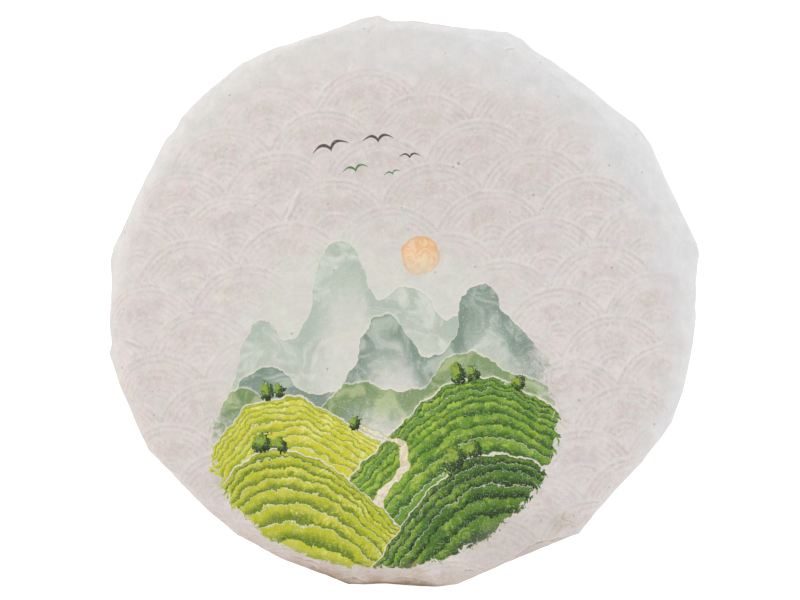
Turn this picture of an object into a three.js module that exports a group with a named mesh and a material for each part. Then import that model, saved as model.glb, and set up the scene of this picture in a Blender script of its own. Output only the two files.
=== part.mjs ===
// A pressed tea cake in its paper wrapper, lying flat with the printed side up.
// Millimetres. +X is to the right and +Y away as the printed side is looked at,
// +Z is up. The origin is on the surface it rests on, below the middle of its box.
//
// The cake is a low dome, thickest at the centre, with a rounded rim. The paper is
// drawn straight from one fold to the next, so that the rim is a polygon of flat
// facets with a small peak at each fold. Underneath, the paper runs in pleats to
// the centre, where it is gathered and tucked into a shallow dimple.
import * as THREE from 'three';

// ---- driving dimensions ----
const HEIGHT = 26;            // at the centre of the dome
const DOME_RADIUS = 100;      // where DOME_DROP is measured
const DOME_DROP = 8;          // how far the top falls from the centre to the rim
const DOME_POWER = 4;         // flat in the middle, steeper towards the rim
const RIM_TOP_RUN = 9;        // how far in from the edge the rim starts to turn down
const RIM_FOOT_RUN = 8;       // how far in from the edge the foot starts to turn up
const WIDEST_Z = 9.5;         // height of the widest line of the rim
const FACET_ROUND = 2.3;      // roundness of the rim's section on a facet
const PEAK_ROUND = 1.65;      // and at a fold, where it is drawn to a blunt edge
const PEAK_SPREAD = 3.2;      // degrees over which a fold's edge fades out
const DEPTH_STRETCH = 1.005;  // how much deeper the outline is than it looks

const DIMPLE_RADIUS = 27;     // the hollow under the middle
const DIMPLE_DEPTH = 3.6;
const KNOT_RADIUS = 7;        // the tucked end of the paper in the dimple
const KNOT_RISE = 1.9;
const FOOT_INNER = 34;        // the flat ring that it rests on runs from here out
const PLEAT_STEP = 0.45;      // height of one pleat over the next, off the flat ring
const PLEATS_PER_FACET = 1;

const LUMP = 0.22;            // unevenness of the pressed leaf under the paper
const STEP_DEG = 2.5;         // angle between two columns of points
const TOP_RINGS = 9;
const RIM_RINGS = 5;

// Folds round the rim: angle in degrees from +X, distance from the centre, and how
// far the facet that follows, anticlockwise, bows out from a straight line.
const FOLDS = [
  [9.5, 101.2, -0.1],
  [34.5, 99.2, 0.2],
  [49.5, 95.6, -0.8],
  [66.3, 98.2, 0.0],
  [95.0, 97.0, 0.7],
  [122.8, 97.6, 1.0],
  [142.5, 98.3, 0.5],
  [170.2, 101.0, -0.1],
  [190.4, 102.0, 0.4],
  [209.8, 100.7, 0.6],
  [234.3, 97.8, 1.1],
  [258.6, 97.6, 0.2],
  [280.2, 98.0, -0.9],
  [305.0, 98.3, 0.2],
  [326.2, 96.9, 0.0],
  [335.8, 99.3, 0.2],
  [347.5, 98.6, 0.3],
];

const rad = (deg) => (deg * Math.PI) / 180;

// ---- columns: angles round the cake, with one exactly on each fold ----
function columns() {
  const list = [];
  for (let k = 0; k < FOLDS.length; k++) {
    const [a0, r0, bow] = FOLDS[k];
    const [a1raw, r1] = FOLDS[(k + 1) % FOLDS.length];
    const a1 = a1raw > a0 ? a1raw : a1raw + 360;
    const p = [r0 * Math.cos(rad(a0)), r0 * Math.sin(rad(a0))];
    const q = [r1 * Math.cos(rad(a1)), r1 * Math.sin(rad(a1))];
    const d = [q[0] - p[0], q[1] - p[1]];
    const n = Math.max(3, Math.round((a1 - a0) / STEP_DEG));
    for (let i = 0; i < n; i++) {
      const s = i / n;
      const a = a0 + (a1 - a0) * s;
      const u = [Math.cos(rad(a)), Math.sin(rad(a))];
      const chord = (p[0] * d[1] - p[1] * d[0]) / (u[0] * d[1] - u[1] * d[0]);
      const away = Math.min(a - a0, a1 - a);
      list.push({
        angle: a,
        radius: chord + bow * 4 * s * (1 - s),
        peak: Math.exp(-((away / PEAK_SPREAD) ** 2)),
        // the paper climbs evenly over a facet and drops at the next fold
        pleat: (s * PLEATS_PER_FACET) % 1,
      });
    }
  }
  return list;
}

// ---- height of the top, and its gentle unevenness ----
function dome(x, y) {
  const r = Math.hypot(x, y);
  const lump = Math.sin(x / 8.3 + 0.7) * Math.cos(y / 9.1 - 0.4)
    + 0.6 * Math.sin((x + y) / 5.7 + 1.9) * Math.cos((x - y) / 6.9);
  return HEIGHT - DOME_DROP * (r / DOME_RADIUS) ** DOME_POWER - LUMP * (1 + lump / 1.6);
}

// ---- one column of points, from near the top's centre to near the foot's ----
function column(c) {
  const u = [Math.cos(rad(c.angle)), Math.sin(rad(c.angle))];
  const round = FACET_ROUND + (PEAK_ROUND - FACET_ROUND) * c.peak;
  const at = (r, z) => [r * u[0], r * u[1], z];
  const points = [];
  const rTop = c.radius - RIM_TOP_RUN;
  for (let i = 1; i <= TOP_RINGS; i++) {
    const r = rTop * Math.pow(i / TOP_RINGS, 0.85);
    points.push(at(r, dome(r * u[0], r * u[1])));
  }
  for (let i = 1; i <= RIM_RINGS; i++) {
    const f = (i / RIM_RINGS) * (Math.PI / 2);
    const out = Math.pow(Math.sin(f), 2 / round);
    const down = i === RIM_RINGS ? 1 : 1 - Math.pow(Math.cos(f), 2 / round);
    const r = rTop + RIM_TOP_RUN * out;
    const top = dome(r * u[0], r * u[1]);
    points.push(at(r, top + (WIDEST_Z - top) * down));
  }
  for (let i = RIM_RINGS - 1; i >= 0; i--) {
    const f = (i / RIM_RINGS) * (Math.PI / 2);
    const out = i === 0 ? 0 : Math.pow(Math.sin(f), 2 / round);
    const up = 1 - Math.pow(Math.cos(f), 2 / round);
    // the pleats stand off the foot a little where it turns up
    const step = PLEAT_STEP * c.pleat * (i === 0 ? 0 : Math.sin(2 * f));
    points.push(at(c.radius - RIM_FOOT_RUN * (1 - out), WIDEST_Z * up + step));
  }
  points.push(at(62, 0));
  points.push(at(FOOT_INNER, 0));
  for (const r of [DIMPLE_RADIUS, 23, 19, 15, 11, KNOT_RADIUS, 3.5]) {
    points.push(at(r, under(r, c.pleat)));
  }
  return points;
}

// ---- the hollow underneath, with the gathered end of the paper in it ----
function under(r, pleat) {
  const t = Math.min(1, Math.max(0, (FOOT_INNER - r) / (FOOT_INNER - 12)));
  const bowl = DIMPLE_DEPTH * t * t * (3 - 2 * t);
  const k = Math.min(1, Math.max(0, 1 - r / (KNOT_RADIUS * 1.5)));
  const knot = KNOT_RISE * k * k * (3 - 2 * k);
  const step = PLEAT_STEP * pleat * t * (r / FOOT_INNER) * 2;
  return bowl - knot + step;
}

function cakeGeometry() {
  const cols = columns().map(column);
  const n = cols.length;
  const m = cols[0].length;
  const xyz = [];
  for (const points of cols) for (const p of points) xyz.push(p[0], p[1] * DEPTH_STRETCH, p[2]);
  const topCentre = n * m;
  const footCentre = topCentre + 1;
  xyz.push(0, 0, dome(0, 0));
  xyz.push(0, 0, under(0, 0));

  // put the middle of the box on the Z axis
  const low = [Infinity, Infinity];
  const high = [-Infinity, -Infinity];
  for (let i = 0; i < xyz.length; i += 3) {
    for (let k = 0; k < 2; k++) {
      low[k] = Math.min(low[k], xyz[i + k]);
      high[k] = Math.max(high[k], xyz[i + k]);
    }
  }
  for (let i = 0; i < xyz.length; i += 3) {
    for (let k = 0; k < 2; k++) xyz[i + k] -= (low[k] + high[k]) / 2;
  }

  const faces = [];
  for (let c = 0; c < n; c++) {
    const a = c * m;
    const b = ((c + 1) % n) * m;
    faces.push(topCentre, a, b);
    for (let j = 0; j < m - 1; j++) {
      faces.push(a + j, a + j + 1, b + j + 1);
      faces.push(a + j, b + j + 1, b + j);
    }
    faces.push(footCentre, b + m - 1, a + m - 1);
  }
  const geometry = new THREE.BufferGeometry();
  geometry.setAttribute('position', new THREE.Float32BufferAttribute(xyz, 3));
  geometry.setIndex(faces);
  geometry.computeVertexNormals();
  return geometry;
}

const paper = new THREE.MeshStandardMaterial({ color: 0xd9d2cd, roughness: 0.88, metalness: 0 });

const cake = new THREE.Mesh(cakeGeometry(), paper);
cake.name = 'wrapped_tea_cake';

const object = new THREE.Group();
object.add(cake);
export default object;
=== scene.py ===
# A pressed tea cake shut in its thin white paper wrapper, lying flat, printed side
# up. The wrapper is one modelled skin: a low dome, a rim of flat facets drawn
# between the folds, and pleats underneath that run to a tucked centre. Its print is
# worked out in the material: faint wave scales and a painted landscape of hills.
import math

import bpy
import numpy as np
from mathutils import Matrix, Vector


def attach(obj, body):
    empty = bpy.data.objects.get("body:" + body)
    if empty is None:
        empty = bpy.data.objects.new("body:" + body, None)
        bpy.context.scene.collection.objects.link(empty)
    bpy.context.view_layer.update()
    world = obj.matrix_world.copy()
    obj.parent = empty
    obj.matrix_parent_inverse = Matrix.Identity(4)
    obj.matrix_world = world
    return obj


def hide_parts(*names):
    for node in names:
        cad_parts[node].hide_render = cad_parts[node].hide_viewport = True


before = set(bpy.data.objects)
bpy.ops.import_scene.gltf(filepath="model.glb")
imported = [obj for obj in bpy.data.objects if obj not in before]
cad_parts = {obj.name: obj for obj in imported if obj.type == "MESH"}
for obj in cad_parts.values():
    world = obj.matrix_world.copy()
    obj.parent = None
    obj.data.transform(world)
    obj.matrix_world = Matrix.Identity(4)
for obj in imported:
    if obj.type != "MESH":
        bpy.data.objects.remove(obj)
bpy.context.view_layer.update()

MM = 0.001
rad = math.radians

# ------------------------------------------------------------------ dimensions
# Millimetres, in the frame of the CAD solid.
HEIGHT = 26.0
DOME_RADIUS, DOME_DROP, DOME_POWER = 100.0, 8.0, 4.0
WIDEST_Z = 9.5
DIMPLE_DEPTH, FOOT_INNER = 3.6, 34.0
KNOT_RADIUS, KNOT_RISE = 7.0, 1.9

# The edge of the wrapper: the angle and distance of each bend of the paper. It runs
# straight from one to the next.
EDGE = [
    (1.3, 98.45), (5.8, 99.50), (8.5, 101.03), (10.8, 100.80), (23.8, 97.46),
    (32.1, 98.79), (36.4, 98.82), (39.1, 97.45), (43.1, 96.19), (49.4, 95.51),
    (58.6, 95.47), (62.3, 95.59), (65.6, 97.44), (69.1, 97.59), (78.5, 94.50),
    (88.5, 95.06), (93.0, 95.26), (95.2, 97.53), (98.0, 96.95), (107.7, 94.65),
    (118.4, 96.30), (124.1, 97.79), (132.9, 97.40), (140.9, 97.79), (142.9, 97.10),
    (145.9, 97.79), (158.9, 97.08), (166.0, 98.45), (170.2, 100.35), (172.2, 100.42),
    (176.5, 99.36), (185.5, 100.08), (189.0, 100.25), (190.5, 101.60), (196.1, 100.58),
    (210.3, 100.54), (215.4, 98.51), (225.6, 97.49), (234.6, 97.61), (244.6, 96.99),
    (258.8, 98.03), (265.5, 96.51), (275.7, 97.60), (280.2, 97.97), (292.4, 95.28),
    (306.4, 98.49), (309.6, 97.21), (320.6, 96.06), (325.9, 97.45), (334.9, 99.30),
    (341.2, 99.03), (347.0, 98.67), (355.0, 98.66),
]
# Where a lap of the paper ends at the rim. The next one starts under it.
LAPS = [8.5, 36.4, 49.4, 65.6, 95.2, 124.1, 145.9, 170.2, 190.5, 210.3, 234.6, 258.8,
        280.2, 306.4, 325.9, 334.9, 347.0]
# Folds that show only underneath, between those of the rim.
UNDER_FOLDS = [22.0, 81.0, 112.0, 152.0, 202.5, 221.0, 250.0, 298.5, 315.0]
# The shoulder: angle, how far in from the edge the paper starts to turn down, and
# how boxy the turn is (1 is a straight bevel, 2 a round, 3 nearly a corner).
SHOULDER = [
    (0, 7.5, 1.9), (10, 8.5, 1.8), (22, 9.0, 1.9), (36, 8.0, 1.6), (43, 6.2, 1.4),
    (56, 5.4, 1.4), (64, 5.4, 1.4), (70, 4.9, 1.4), (90, 4.4, 1.4), (95, 4.6, 1.6),
    (108, 3.2, 1.6), (120, 4.8, 1.8), (126, 6.5, 2.0), (146, 8.0, 2.0), (157, 8.5, 2.0),
    (172, 8.6, 2.0), (186, 8.2, 2.1), (200, 7.2, 2.2), (215, 5.4, 2.6), (228, 4.4, 2.8),
    (240, 5.0, 1.5), (250, 5.6, 1.3), (262, 6.4, 1.25), (277, 6.0, 1.25), (281, 4.5, 1.7),
    (290, 3.8, 2.6), (306, 3.8, 2.5), (318, 4.8, 2.3), (336, 6.6, 2.1), (350, 7.2, 2.0),
]
# Tea stain and painted shade along the near edge: angle, how wide it is and how strong.
STAIN_AND_SHADE = [
    (212, 3.0, 0.0), (220, 3.5, 0.03), (228, 3.5, 0.10), (234, 4.0, 0.22), (240, 4.0, 0.38),
    (244, 4.2, 0.62), (248, 5.0, 0.78), (252, 4.6, 0.85), (256, 6.2, 1.22), (262, 6.8, 1.16),
    (268, 6.4, 1.10), (273, 6.6, 1.22), (277, 4.2, 0.85), (280, 6.0, 0.52), (283, 3.2, 0.30),
    (287, 3.0, 0.12), (300, 3.0, 0.08), (308, 3.0, 0.0),
]
# Painted shade in a dark line at the paper's edge there, where it turns under: angle, strength and width.
EDGE_SHADE = [
    (226, 0.0, 0.5), (236, 0.05, 0.5), (242, 0.08, 0.5), (246, 0.15, 0.5), (250, 0.32, 0.55),
    (254, 0.66, 0.7), (257, 1.0, 0.9), (258.4, 1.0, 1.3), (260, 1.0, 0.8), (264, 1.0, 0.72), (270, 1.0, 0.78), (274, 0.95, 0.95),
    (277, 0.5, 0.7), (279.5, 0.06, 0.5), (284, 0.14, 0.6), (292, 0.2, 0.8), (304, 0.14, 0.7),
    (310, 0.05, 0.5), (334, 0.0, 0.5),
]
# Painted shade in a greyer band beside it, where the paper leans away from the light: angle and strength.
LEAN_SHADE = [(279, 0.0), (284, 0.12), (290, 0.28), (297, 0.32), (303, 0.22), (307, 0.04), (311, 0.0)]
# Sharp small folds along it, in two lines, painted as a highlight beside a shade line with shade on their outer
# side: angle, how far in from the edge and strength.
CRIMPS = [
    [(250.2, 1.8, 0.0), (251.1, 1.39, 0.6), (252.5, 0.90, 0.7), (253.5, 0.35, 0.5), (254.7, 0.15, 0.0),
     (256.6, 0.70, 0.0), (257.4, 0.92, 0.6), (258.5, 2.14, 0.8), (259.3, 2.59, 0.9), (260.3, 2.07, 0.9),
     (261.5, 1.42, 0.9), (262.6, 0.58, 0.7), (263.5, 0.20, 0.0), (270.2, 0.0, 0.0), (270.9, 0.10, 0.5),
     (271.9, 0.67, 0.7), (273.0, 1.40, 0.7), (273.9, 1.77, 0.6), (274.8, 1.38, 0.4), (275.6, 1.0, 0.0),
     (292.4, 0.4, 0.0), (293.4, 0.90, 0.5), (296.2, 2.10, 0.5), (298.1, 2.40, 0.6), (300.4, 1.70, 0.7),
     (302.3, 1.33, 0.6), (303.6, 0.72, 0.5), (304.8, 0.3, 0.0), (307.2, 0.5, 0.0), (308.8, 0.60, 0.35),
     (309.9, 0.65, 0.35), (311.2, 0.5, 0.0)],
    [(246.3, 2.2, 0.0), (247.3, 2.41, 0.5), (248.7, 2.46, 0.6), (250.6, 2.95, 0.6), (252.1, 2.79, 0.5),
     (252.9, 2.08, 0.4), (253.8, 1.6, 0.0), (266.6, 1.2, 0.0), (267.6, 1.88, 0.5), (268.5, 2.50, 0.6),
     (269.6, 2.62, 0.6), (270.8, 2.68, 0.6), (272.1, 2.53, 0.6), (273.5, 2.19, 0.4), (274.6, 2.0, 0.0),
     (281.6, 3.1, 0.0), (282.4, 3.30, 0.5), (282.9, 3.20, 0.6), (283.7, 2.43, 0.6), (284.6, 2.0, 0.0)],
]
# Small creases: from, to, height and width.
CREASES = [
    (-94.6, -13.7, -86.7, -17.1, 0.34, 0.55), (-93.7, -15.9, -86.2, -18.7, -0.22, 0.60),
    (33.1, 84.0, 38.8, 86.9, 0.30, 0.60), (-38.8, 25.3, -34.8, 35.3, 0.16, 0.90),
    (16.8, 91.3, 2.8, 93.3, 0.20, 0.50), (-7.7, 94.8, -13.2, 87.3, 0.22, 0.70),
    (-70.2, 59.3, -79.2, 65.3, 0.16, 0.70), (-93.2, 21.3, -98.2, 16.3, 0.20, 0.60),
    (87.8, 11.3, 96.8, 14.8, 0.18, 0.80), (59.8, 71.3, 73.8, 61.3, 0.10, 0.90),
    (39.8, -80.7, 56.8, -76.7, 0.12, 0.70), (-50.2, -79.7, -38.2, -87.7, 0.14, 0.70),
    (69.8, -60.7, 77.8, -55.7, 0.12, 0.60), (-84.2, -45.7, -76.2, -50.7, 0.10, 0.70),
    (-20.4, -94.3, -16.1, -93.3, 0.34, 0.55), (-16.1, -93.3, -11.1, -95.5, 0.30, 0.50),
    (-3.7, -94.3, 1.0, -93.7, 0.30, 0.50), (1.0, -93.7, 5.6, -94.6, 0.26, 0.50),
    (-31.0, -88.6, -22.0, -92.4, 0.22, 0.55), (17.0, -93.5, 27.0, -90.6, 0.18, 0.55),
]

# Where things are on the sheet, as millimetres on the flat paper.
PRINT_TURN = rad(9.27)
PRINT_CENTRE, PRINT_RADIUS = (-5.0, -20.8), 97.0
WAVE_ORIGIN = (14.42, 0.79)
WAVE_WIDE, WAVE_ROW, WAVE_CLIP = 34.02, 12.0, 20.4
WAVE_FIRST, WAVE_STEP = 3.54, 1.913
INK = 0.56
ART_CENTRE = (-8.6, -32.4)
# Birds in the sky: place, half a wingspan, tilt and whether it is a green one.
BIRDS = [(-25.0, 49.6, 6.2, 0.14, 0), (-9.0, 52.4, 5.2, -0.06, 0), (-16.6, 42.2, 4.4, 0.06, 1),
         (1.6, 46.6, 3.6, -0.10, 0), (-4.2, 40.8, 2.9, 0.10, 1)]
SMUDGE = (52.9, -76.2)
SPECKS = [
    (18.1, 43.9, 0.75), (43.0, 33.5, 0.55), (51.8, 67.5, 0.40), (13.7, 82.1, 0.35),
    (4.4, 32.2, 0.35), (1.1, 21.6, 0.35), (-51.6, -73.6, 0.42), (-34.6, -73.6, 0.35),
    (84.3, -43.5, 0.60), (52.1, -2.8, 0.32), (16.2, 42.8, 0.40), (-62.2, 39.3, 0.30),
    (54.7, -75.8, 0.36), (55.8, -76.2, 0.40), (56.8, -76.9, 0.38), (55.6, -77.3, 0.34),
    (57.1, -78.5, 0.42), (58.7, -73.0, 0.36), (59.8, -78.6, 0.34), (53.4, -73.3, 0.34),
]

# Folds in the sheet, painted as a highlight beside a shade line: from, to, strength and width.
CREASE_SHADING = [
    (-95.6, -14.1, -86.7, -17.2, 0.26, 0.34), (-39.5, 24.0, -34.0, 37.0, 0.22, 0.45),
    (33.9, 83.9, 38.2, 86.4, 0.34, 0.32), (-9.2, 93.5, -12.0, 89.0, 0.14, 0.40),
]
# Colours of the sheet where it is bare, and where the faint print covers it.
BARE_LEFT = ((216, 213, 210), (212, 208, 205))
BARE_RIGHT = ((216, 215, 215.5), (212.5, 211.5, 212))
WASHED_LEFT = ((217, 209, 205.5), (211, 204, 200.5))
WASHED_RIGHT = ((216, 210, 208), (211, 204.5, 203))
# How uneven it is: light coarse and fine, warm coarse and fine, pink coarse and fine.
GRAIN = (0.22, 0.024, 0.075, 0.026, 0.075, 0.018)

# ------------------------------------------------------------------ camera
CAMERA_UP, CAMERA_FAR, VIEW_WIDE = 85.0, 1150.0, 0.3363 * 800
CAMERA_AIM = (-1.61, -1.11, 16.0)


def make_camera():
    data = bpy.data.cameras.new("camera")
    data.sensor_width = 36.0
    data.lens = 36.0 * CAMERA_FAR / VIEW_WIDE
    data.clip_start, data.clip_end = 0.01, 20.0
    cam = bpy.data.objects.new("camera", data)
    bpy.context.collection.objects.link(cam)
    up = rad(CAMERA_UP)
    at = np.array(CAMERA_AIM) + CAMERA_FAR * np.array([0.0, -math.cos(up), math.sin(up)])
    cam.location = tuple(at * MM)
    cam.rotation_euler = (math.pi / 2 - up, 0.0, 0.0)
    bpy.context.scene.camera = cam
    return cam


# ------------------------------------------------------------------ shape
def ripples(x, y, seed, short, long, count=90, lean=1.0):
    """An even, seeded unevenness with waves from short to long millimetres."""
    rng = np.random.default_rng(seed)
    out = np.zeros_like(x)
    power = 0.0
    for _ in range(count):
        wave = short * (long / short) ** rng.random()
        turn, phase = rng.random(2) * 2 * math.pi
        k = 2 * math.pi / wave
        gain = (wave / long) ** lean
        out += gain * np.sin(k * (x * math.cos(turn) + y * math.sin(turn)) + phase)
        power += gain * gain / 2
    return out / math.sqrt(power)


def smooth(low, high, x):
    t = np.clip((x - low) / (high - low), 0.0, 1.0)
    return t * t * (3 - 2 * t)


def column_angles():
    """Angles of the columns of points, with a pair on each bend of the edge so that
    a layer can end there in a step."""
    crease_light_and_bump = sorted([e[0] for e in EDGE] + UNDER_FOLDS)
    list_ = []
    gap = 0.045
    for k, a0 in enumerate(crease_light_and_bump):
        a1 = crease_light_and_bump[(k + 1) % len(crease_light_and_bump)]
        a1 = a1 if a1 > a0 else a1 + 360
        n = max(4, round((a1 - a0) / 0.56))
        t = np.arange(n) / (n - 1)
        list_.append(a0 + gap + t * (a1 - a0 - 2 * gap))
    return np.concatenate(list_)


def around(table, deg):
    """A value given at some angles, read at others round the circle."""
    a = np.array([row[0] for row in table], float)
    v = np.array([row[1] for row in table], float)
    return np.interp(deg % 360, np.r_[a[-1] - 360, a, a[0] + 360], np.r_[v[-1], v, v[0]])


def outline(deg):
    """Distance of the edge at each angle: straight from bend to bend, the strong
    bends sharp and the slight ones eased."""
    fine = np.arange(0, 360, 0.05)
    a = np.array([e[0] for e in EDGE])
    p = np.array([[d * math.cos(rad(t)), d * math.sin(rad(t))] for t, d in EDGE])
    n = len(EDGE)
    r = np.zeros_like(fine)
    turn = np.zeros(n)
    for k in range(n):
        q = p[(k + 1) % n]
        d, before = q - p[k], p[k] - p[k - 1]
        cross = before[0] * d[1] - before[1] * d[0]
        turn[k] = math.degrees(math.atan2(cross, before @ d))
        mine = ((fine - a[k]) % 360) < ((a[(k + 1) % n] - a[k]) % 360)
        u = np.stack([np.cos(np.radians(fine[mine])), np.sin(np.radians(fine[mine]))])
        r[mine] = (p[k][0] * d[1] - p[k][1] * d[0]) / (u[0] * d[1] - u[1] * d[0])

    def blur(v, sigma):
        k = np.exp(-0.5 * (np.arange(-80, 81) * 0.05 / sigma) ** 2)
        return np.convolve(np.r_[v[-80:], v, v[:80]], k / k.sum(), "valid")

    strong = np.zeros_like(fine)
    for k in range(n):
        away = np.abs((fine - a[k] + 180) % 360 - 180)
        strong = np.maximum(strong, smooth(5, 13, abs(turn[k])) * np.exp(-(away / 2.0) ** 2))
    r = blur(r, 0.11) * strong + blur(r, 0.35) * (1 - strong)
    t = np.radians(fine)
    rng = np.random.default_rng(5)
    for f in range(24, 120, 5):   # the paper's edge isn't quite straight
        r += 0.06 * (24 / f) ** 0.8 * rng.random() * np.sin(f * t + rng.random() * 7)
    return np.interp(np.asarray(deg) % 360, np.r_[fine, 360.0], np.r_[r, r[0]])


def tea_radius(t):
    """The pressed leaf inside is rounder than the paper."""
    return 96.9 - 1.0 * np.cos(t) + 1.9 * np.cos(2 * t) - 0.5 * np.sin(t)


def nearest(deg, folds):
    away = np.abs((deg[:, None] - np.array(folds)[None, :] + 180) % 360 - 180)
    return away.min(1)


def after_fold(deg, folds):
    """Degrees past the last fold, and the span to the next."""
    folds = np.array(sorted(folds))
    past = (deg[:, None] - folds[None, :]) % 360
    k = past.argmin(1)
    span = (np.roll(folds, -1) - folds) % 360
    return past.min(1), span[k], k


def dome(x, y):
    r = np.hypot(x, y)
    return HEIGHT - DOME_DROP * (r / DOME_RADIUS) ** DOME_POWER


TOP, RIM, FOOT, UNDER = 50, 28, 13, 34


def build_skin():
    deg = column_angles()
    C = len(deg)
    t = np.radians(deg)
    R = outline(deg)
    all_folds = LAPS + UNDER_FOLDS
    peak = np.exp(-(nearest(deg, LAPS) / 3.0) ** 2)
    # how far in the shoulder starts, further where the paper stands off the tea
    run = around([(a, w) for a, w, _ in SHOULDER], deg) + 0.8 * (R - tea_radius(t))
    run = np.maximum(run, 2.6) + 1.2 * peak
    inner = R - run
    n_top = around([(a, n) for a, _, n in SHOULDER], deg)
    n_top = n_top + (1.45 - n_top) * 0.55 * peak
    n_low = 2.35 - 0.7 * peak
    wide_z = WIDEST_Z - 1.8 * peak

    past, span, which = after_fold(deg, all_folds)
    rng = np.random.default_rng(11)
    lap = 0.75 + 0.5 * rng.random(len(all_folds))

    rows = []    # each is x, y, z, kind
    for i in range(1, TOP + 1):      # the printed side
        f = (i / TOP) ** 0.80
        r = inner * f
        x, y = r * np.cos(t), r * np.sin(t)
        rows.append((x, y, dome(x, y), np.full(C, 0.0)))
    for i in range(1, RIM + 1):
        f = i / RIM * math.pi / 2
        out = np.sin(f) ** (2 / n_top)
        down = 1 - np.maximum(np.cos(f), 0) ** (2 / n_top) if i < RIM else np.ones(C)
        r = inner + run * out
        x, y = r * np.cos(t), r * np.sin(t)
        top = dome(x, y)
        rows.append((x, y, top + (wide_z - top) * down, np.full(C, i / RIM)))
    # the foot, where the paper turns under
    foot_run = 8.0 + 2.0 * peak
    for i in range(FOOT - 1, -1, -1):
        f = i / FOOT * math.pi / 2
        out = np.sin(f) ** (2 / n_low) if i else np.zeros(C)
        up = 1 - np.cos(f) ** (2 / n_low)
        r = R - foot_run * (1 - out)
        x, y = r * np.cos(t), r * np.sin(t)
        rows.append((x, y, wide_z * up, np.full(C, 1 + (FOOT - i) / FOOT)))
    # underneath: the columns turn like an iris towards the centre
    r_foot = R - foot_run
    half = UNDER // 2
    for g in np.r_[np.linspace(0, 1, half + 3)[1:], np.linspace(0, 1, UNDER - half - 1)[1:] + 1]:
        if g <= 1:
            r = r_foot + (FOOT_INNER - r_foot) * g
        else:
            r = np.full(C, FOOT_INNER + (1.2 - FOOT_INNER) * (g - 1) ** 0.9)
        turn = rad(62) * np.clip(1 - r / r_foot, 0, 1) ** 1.25
        a = t + turn
        x, y = r * np.cos(a), r * np.sin(a)
        rows.append((x, y, np.zeros(C), np.full(C, 2 + g)))

    x = np.array([r[0] for r in rows])
    y = np.array([r[1] for r in rows])
    z = np.array([r[2] for r in rows])
    kind = np.array([r[3] for r in rows])
    M = len(rows)

    inward = R[None, :] - np.hypot(x, y)
    # tea stain and painted shade along the near edge
    width_ = around([(a, w) for a, w, _ in STAIN_AND_SHADE], deg)[None, :]
    amount = around([(a, v) for a, _, v in STAIN_AND_SHADE], deg)[None, :]
    e = np.clip(inward, 0, None) / width_ + 0.10 * ripples(x, y, 31, 3, 14)
    stain_and_shade = amount * (0.32 * (1 - smooth(0.55, 1.15, e)) + 0.68 * np.exp(-np.clip(e / 0.30, 0, 9) ** 1.5))
    # painted shade in a dark line at the edge, where the paper turns under
    thin = around([(a, w) for a, _, w in EDGE_SHADE], deg)[None, :] * (1 + 0.35 * ripples(x, y, 32, 4, 20))
    edge_shade = around([(a, v) for a, v, _ in EDGE_SHADE], deg)[None, :] * np.exp(-(np.clip(inward, 0, None) / thin) ** 2)
    # painted shade in a greyer band where the paper leans away from the light
    lean_shade = around(LEAN_SHADE, deg)[None, :] * (1 - smooth(0.6, 1.25, np.clip(inward, 0, None) / 13.0))
    fade = 1 - smooth(1.3, 2.0, kind)
    stain_and_shade, edge_shade, lean_shade = stain_and_shade * fade, edge_shade * fade, lean_shade * fade
    edge_shade = edge_shade * (1 - 0.85 * smooth(1.02, 1.30, kind))     # softer on the side below the edge
    facing = np.where(kind <= 1.0, inward, -inward)
    crimp = [facing - around([(a, v) for a, v, _ in line], deg)[None, :] for line in CRIMPS]
    crimp_shading = [around([(a, v) for a, _, v in line], deg)[None, :] * fade for line in CRIMPS]

    # ---- relief of the printed side: pressed leaf, and paper drawn to the folds
    on_top = 1 - smooth(0.55, 1.0, kind)
    lumps = 0.10 * ripples(x, y, 3, 6, 26) + 0.045 * ripples(x, y, 4, 2.4, 6, 140)
    z += on_top * (lumps - 0.28)
    for k, a0 in enumerate(LAPS):
        r0 = float(outline(a0))
        rng = np.random.default_rng(100 + k)
        for _ in range(3):
            a = rad(a0 + rng.normal(0, 1.1))
            lean = rng.normal(0, 0.28)
            reach = 7 + 12 * rng.random()
            px, py = r0 * math.cos(a), r0 * math.sin(a)
            ux, uy = -math.cos(a + lean), -math.sin(a + lean)
            along = (x - px) * ux + (y - py) * uy
            side = (x - px) * -uy + (y - py) * ux + 0.02 * along * rng.normal(0, 3)
            width = 0.6 + 0.08 * np.clip(along, 0, 30)
            h = rng.normal(0.0, 0.13)
            z += on_top * h * np.exp(-(side / width) ** 2) * np.exp(-np.clip(along, 0, 99) / reach) * (along > -8)
    for x0, y0, x1, y1, h, width in CREASES:
        d = np.array([x1 - x0, y1 - y0])
        long_ = float(np.hypot(*d))
        d /= long_
        along = (x - x0) * d[0] + (y - y0) * d[1]
        side = (x - x0) * -d[1] + (y - y0) * d[0] + 0.35 * np.sin(along * 0.7)
        ends = smooth(-1.5, 1.5, along) * (1 - smooth(long_ - 2.5, long_ + 1.5, along))
        z += on_top * h * ends * np.exp(-np.abs(side / width) ** 1.5)

    # ---- the rim: slight ripples round the wall, and a layer that ends at each lap
    wall = smooth(0.3, 0.9, kind) * (1 - smooth(1.9, 2.2, kind))
    at_edge = 1 - 0.75 * np.exp(-((kind - 1.0) / 0.22) ** 2)
    ripple = 0.16 * ripples(np.broadcast_to(t * 98, x.shape), z * 1.6, 9, 4, 22)
    crumple = 0.07 * ripples(np.broadcast_to(t * 98, x.shape), z * 2.2, 10, 1.8, 5)
    lap_mm = 3.0 + 5.0 * lap[which]
    on_fold = np.exp(-np.clip(np.radians(past) * 98 / lap_mm, 0, 9) ** 3)
    real = np.isin(which, [sorted(all_folds).index(f) for f in LAPS]).astype(float)
    layer = 0.30 * on_fold * (0.35 + 0.65 * real)
    grow = at_edge * wall * (ripple + crumple) + layer * smooth(0.75, 1.5, kind) * (1 - smooth(2.0, 2.3, kind))
    x += grow * np.cos(t)
    y += grow * np.sin(t)

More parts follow.
